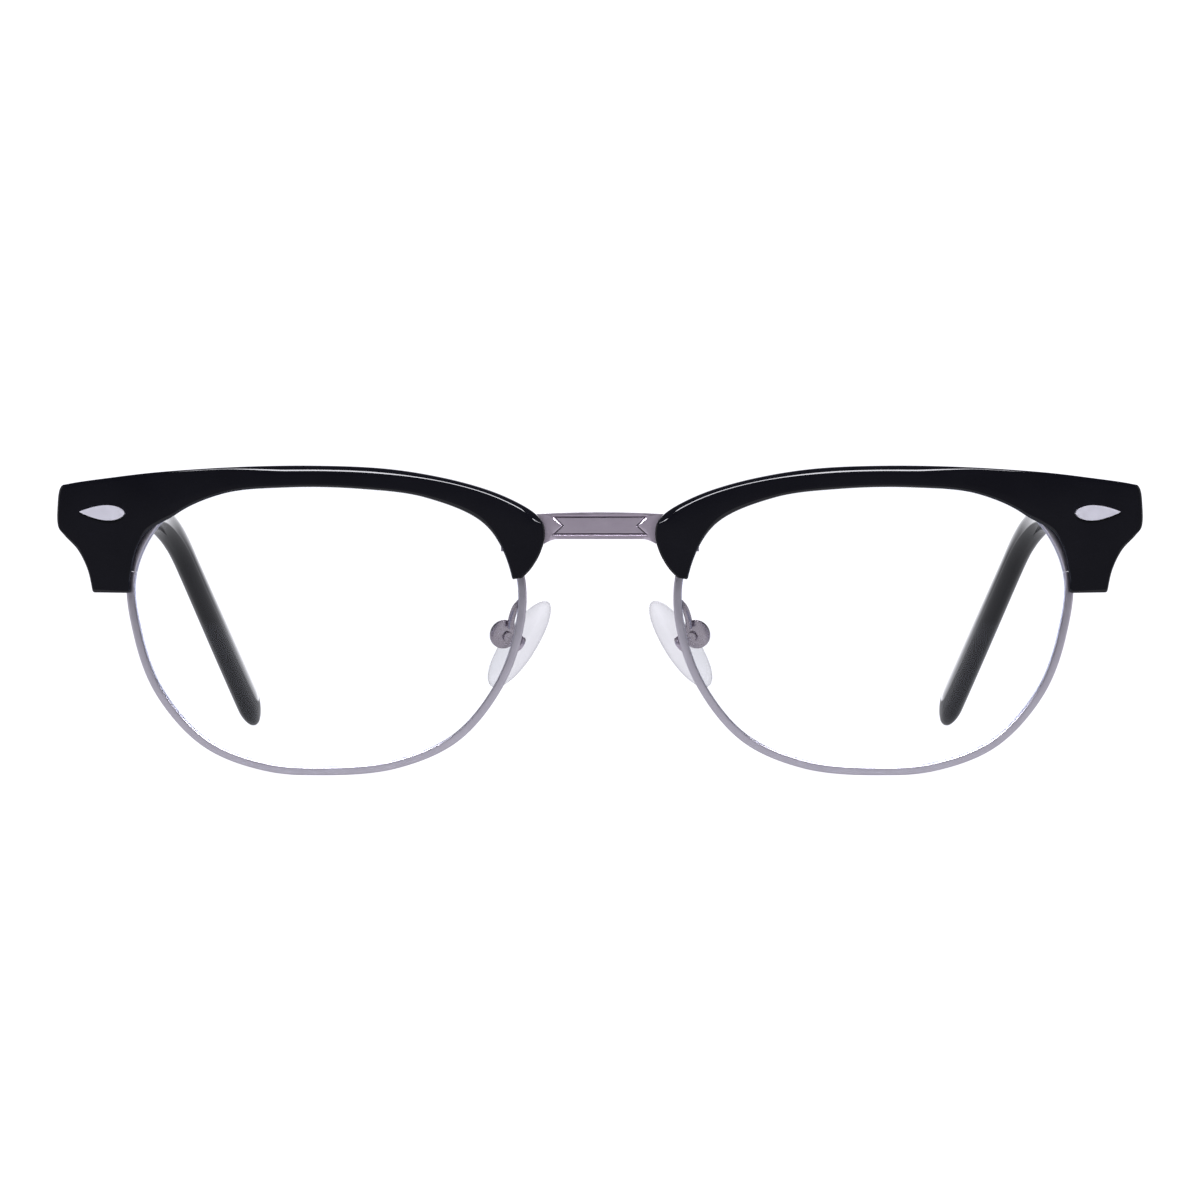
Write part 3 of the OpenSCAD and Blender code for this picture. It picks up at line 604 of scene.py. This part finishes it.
def bridge_metal():
    """The gunmetal, with painted shade: dark lines painted along the grooves round the bridge's
    panel, on its front only.
    """
    mat = metal("gunmetal with painted groove shade", *GUNMETAL, SATIN)
    nodes, links = mat.node_tree.nodes, mat.node_tree.links
    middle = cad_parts["bridge"].matrix_world.inverted() @ Vector((0, 0, bridge_z * MM))
    shift = nodes.new("ShaderNodeMapping")
    shift.inputs["Location"].default_value = -middle
    links.new(nodes.new("ShaderNodeTexCoord").outputs["Object"], shift.inputs["Vector"])
    split = nodes.new("ShaderNodeSeparateXYZ")
    links.new(shift.outputs["Vector"], split.inputs["Vector"])

    def calc(operation, *values):
        return math_node(nodes, links, operation, *values)

    x, z = calc("ABSOLUTE", split.outputs["X"]), calc("ABSOLUTE", split.outputs["Z"])
    # painted shade: a mask of the panel's top and bottom edges and its notched ends, on the
    # bridge's front only
    along = calc("MULTIPLY", calc("COMPARE", z, panel_h / 2 * MM, 0.11 * MM),
                 calc("LESS_THAN", x, panel_x * MM))
    lean = calc("SUBTRACT", x, calc("MULTIPLY", z, panel_notch / (panel_h / 2)))
    notch = calc("MULTIPLY", calc("COMPARE", lean, (panel_x - panel_notch) * MM, 0.13 * MM),
                 calc("LESS_THAN", z, (panel_h / 2 + 0.05) * MM))
    front = calc("LESS_THAN", split.outputs["Y"], (bridge_front + 0.5 - mid_y) * MM)
    line = calc("MULTIPLY", calc("MAXIMUM", along, notch), front)
    shader = next(n for n in nodes if n.type == "BSDF_PRINCIPLED")
    plain = shader.inputs["Base Color"].links[0].from_socket
    # the painted shade's dark colour, laid over the gunmetal along that mask
    dark = nodes.new("ShaderNodeMix")
    dark.data_type = "RGBA"
    links.new(line, dark.inputs["Factor"])
    links.new(plain, dark.inputs["A"])
    dark.inputs["B"].default_value = (0.14, 0.12, 0.15, 1)
    links.new(dark.outputs["Result"], shader.inputs["Base Color"])
    return mat


def clear_lens():
    mat, nodes, links, out = material("coated lens")
    through = nodes.new("ShaderNodeBsdfTransparent")
    through.inputs["Color"].default_value = (0.985, 0.99, 0.99, 1)
    gloss = nodes.new("ShaderNodeBsdfGlossy")
    gloss.inputs["Color"].default_value = (0.75, 0.82, 1.0, 1)
    gloss.inputs["Roughness"].default_value = 0.02
    fresnel = nodes.new("ShaderNodeFresnel")
    fresnel.inputs["IOR"].default_value = 1.22
    blend(nodes, links, fresnel.outputs["Fac"], through.outputs["BSDF"],
          gloss.outputs["BSDF"], out.inputs["Surface"])
    return mat


def silicone():
    mat, nodes, links, out = material("clear silicone")
    coords = nodes.new("ShaderNodeTexCoord").outputs["Object"]
    body = nodes.new("ShaderNodeBsdfPrincipled")
    body.inputs["Base Color"].default_value = (0.52, 0.51, 0.54, 1)
    body.inputs["IOR"].default_value = 1.41
    haze = noise(nodes, links, coords, 900, 3)
    links.new(ramp(nodes, links, haze, 0.1, 0.2), body.inputs["Roughness"])
    clear = nodes.new("ShaderNodeBsdfTransparent")
    clear.inputs["Color"].default_value = (0.95, 0.95, 0.96, 1)
    edgeward = nodes.new("ShaderNodeLayerWeight")
    edgeward.inputs["Blend"].default_value = 0.25
    share = ramp(nodes, links, edgeward.outputs["Facing"], 0.09, 0.75, 0.15, 1.0)
    blend(nodes, links, share, clear.outputs["BSDF"], body.outputs["BSDF"],
          out.inputs["Surface"])
    return mat


FINISH = {
    "acetate": acetate(),
    "gunmetal": metal("satin gunmetal", *GUNMETAL, SATIN),
    # the bridge's gunmetal, with painted shade along its panel's grooves
    "bridge_metal": bridge_metal(),
    "rim_metal": metal("satin rim wire", (0.66, 0.63, 0.71), (0.72, 0.69, 0.77), (0.28, 0.36),
                       SATIN),
    "dark_metal": metal("dark gunmetal", (0.46, 0.41, 0.46), (0.54, 0.49, 0.54), (0.22, 0.3),
                        0.01),
    "plaque": metal("brushed plaque", (0.86, 0.85, 0.93), (0.90, 0.89, 0.97), (0.5, 0.58), 0.0),
    "screw_steel": metal("polished steel", (0.66, 0.65, 0.67), (0.74, 0.73, 0.75), (0.18, 0.28),
                         SATIN),
    "core_steel": metal("core steel", (0.4, 0.4, 0.41), (0.5, 0.5, 0.51), (0.3, 0.45), 0.1),
    "lens": clear_lens(),
    "silicone": silicone(),
}


def finish_of(part):
    """The finish a piece is painted with, by its node's name without the side."""
    if part in SCREWS:
        return "screw_steel"
    if part == "core_wire":
        return "core_steel"
    if part in ("brow", "temple"):
        return "acetate"
    if part == "lens":
        return "lens"
    if part == "nose_pad":
        return "silicone"
    if part in ("rim", "bridge"):
        return f"{part}_metal"
    if part in ("pad_box", "pad_screw", "pad_arm"):
        return "dark_metal"
    return "plaque" if part == "plaque" else "gunmetal"


def paint(piece, mat):
    piece.data.materials.clear()
    piece.data.materials.append(mat)


for node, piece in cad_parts.items():
    paint(piece, FINISH[finish_of(node.split("_", 1)[1] if "_" in node else node)])
for part, made in MADE:
    paint(made, FINISH[finish_of(part)])


# ---- Stage: a white sweep, in metres. The camera sees it evenly white. Every other ray finds
# it dim near the glasses, so that the acetate stays black, and bright far behind them.
def sweep():
    width, near, far, radius, top = 0.9, -1.2, 1.2, 0.5, 1.6
    seen_glow, near_glow, far_glow, side_share = 1.1, 0.42, 2.6, 0.15
    line = [(near, 0.0), (far, 0.0)]
    line += [(far + radius * math.sin(a), radius * (1 - math.cos(a)))
             for a in (math.pi / 2 * k / 16 for k in range(1, 17))]
    line.append((far + radius, top))
    points = [(x, y, z) for y, z in line for x in (-width, width)]
    faces = [(2 * i, 2 * i + 1, 2 * i + 3, 2 * i + 2) for i in range(len(line) - 1)]
    mesh = bpy.data.meshes.new("sweep")
    mesh.from_pydata(points, [], faces)
    mesh.shade_smooth()
    floor = bpy.data.objects.new("sweep", mesh)
    bpy.context.scene.collection.objects.link(floor)
    mat, nodes, links, out = material("white sweep")
    shader = nodes.new("ShaderNodeBsdfPrincipled")
    shader.inputs["Base Color"].default_value = (0.12, 0.12, 0.12, 1)
    shader.inputs["Roughness"].default_value = 0.9
    shader.inputs["Specular IOR Level"].default_value = 0.0
    shader.inputs["Emission Color"].default_value = (0.95, 0.945, 1, 1)
    where = nodes.new("ShaderNodeSeparateXYZ")
    links.new(nodes.new("ShaderNodeTexCoord").outputs["Object"], where.inputs["Vector"])
    lit = nodes.new("ShaderNodeMix")
    links.new(nodes.new("ShaderNodeLightPath").outputs["Is Camera Ray"], lit.inputs["Factor"])
    aside = math_node(nodes, links, "ABSOLUTE", where.outputs["X"])
    links.new(math_node(nodes, links, "MULTIPLY",
                        ramp(nodes, links, where.outputs["Y"], near_glow, far_glow, 0.4, 1.3),
                        ramp(nodes, links, aside, 1.0, side_share, 0.35, 0.8)),
              lit.inputs["A"])
    lit.inputs["B"].default_value = seen_glow
    links.new(lit.outputs["Result"], shader.inputs["Emission Strength"])
    links.new(shader.outputs["BSDF"], out.inputs["Surface"])
    floor.data.materials.append(mat)


sweep()


def lamp(name, place, target, size, power, colour=(1, 1, 1)):
    """An oblong area lamp, in metres and watts, that faces its target."""
    data = bpy.data.lights.new(name, "AREA")
    data.shape = "RECTANGLE"
    data.size, data.size_y = size
    data.energy = power
    data.color = colour
    light = bpy.data.objects.new(name, data)
    light.location = place
    light.rotation_euler = (Vector(target) - Vector(place)).to_track_quat("-Z", "Y").to_euler()
    bpy.context.scene.collection.objects.link(light)


lamp("softbox", (0, -0.5, 0.75), (0, -0.06, 0.03), (1.0, 0.2), 13, (0.94, 0.94, 1))
lamp("left box", (1.1, -0.16, 0.4), (0, -0.03, 0.02), (0.8, 0.8), 1.2)
lamp("right box", (-1.1, -0.16, 0.4), (0, -0.03, 0.02), (0.8, 0.8), 1.2)

# ---- World: white to the camera; to other rays a dim sky, less high up and more behind
sky_low, sky_high, behind = 0.14, 0.02, 2.2
world = bpy.data.worlds.new("studio")
bpy.context.scene.world = world
world.use_nodes = True
w_nodes, w_links = world.node_tree.nodes, world.node_tree.links
w_nodes.clear()
w_out = w_nodes.new("ShaderNodeOutputWorld")
seen = w_nodes.new("ShaderNodeBackground")
seen.inputs["Color"].default_value = (1, 1, 1, 1)
seen.inputs["Strength"].default_value = 1.05
fill = w_nodes.new("ShaderNodeBackground")
fill.inputs["Color"].default_value = (0.92, 0.92, 1, 1)
way = w_nodes.new("ShaderNodeSeparateXYZ")
w_links.new(w_nodes.new("ShaderNodeTexCoord").outputs["Generated"], way.inputs["Vector"])
w_links.new(math_node(w_nodes, w_links, "MULTIPLY",
                      ramp(w_nodes, w_links, way.outputs["Z"], sky_low, sky_high, 0.1, 0.42),
                      ramp(w_nodes, w_links, way.outputs["Y"], 1.0, behind, -0.1, 0.4)),
            fill.inputs["Strength"])
ray = w_nodes.new("ShaderNodeLightPath")
blend(w_nodes, w_links, ray.outputs["Is Camera Ray"], fill.outputs["Background"],
      seen.outputs["Background"], w_out.inputs["Surface"])

# ---- Camera: where the photograph was taken from, in millimetres and degrees
eye_distance, eye_height, look_down = 500, 30.8, 0.912
camera = bpy.data.objects.new("camera", bpy.data.cameras.new("camera"))
camera.data.sensor_width = 36
camera.data.lens = 115.5
camera.location = (0, -(eye_distance + mid_y) * MM, eye_height * MM)
camera.rotation_euler = (math.radians(90 - look_down), 0, 0)
camera.data.clip_start = 0.01
bpy.context.scene.collection.objects.link(camera)
bpy.context.scene.camera = camera
bpy.context.scene.view_settings.view_transform = "Standard"
bpy.context.scene.view_settings.look = "None"
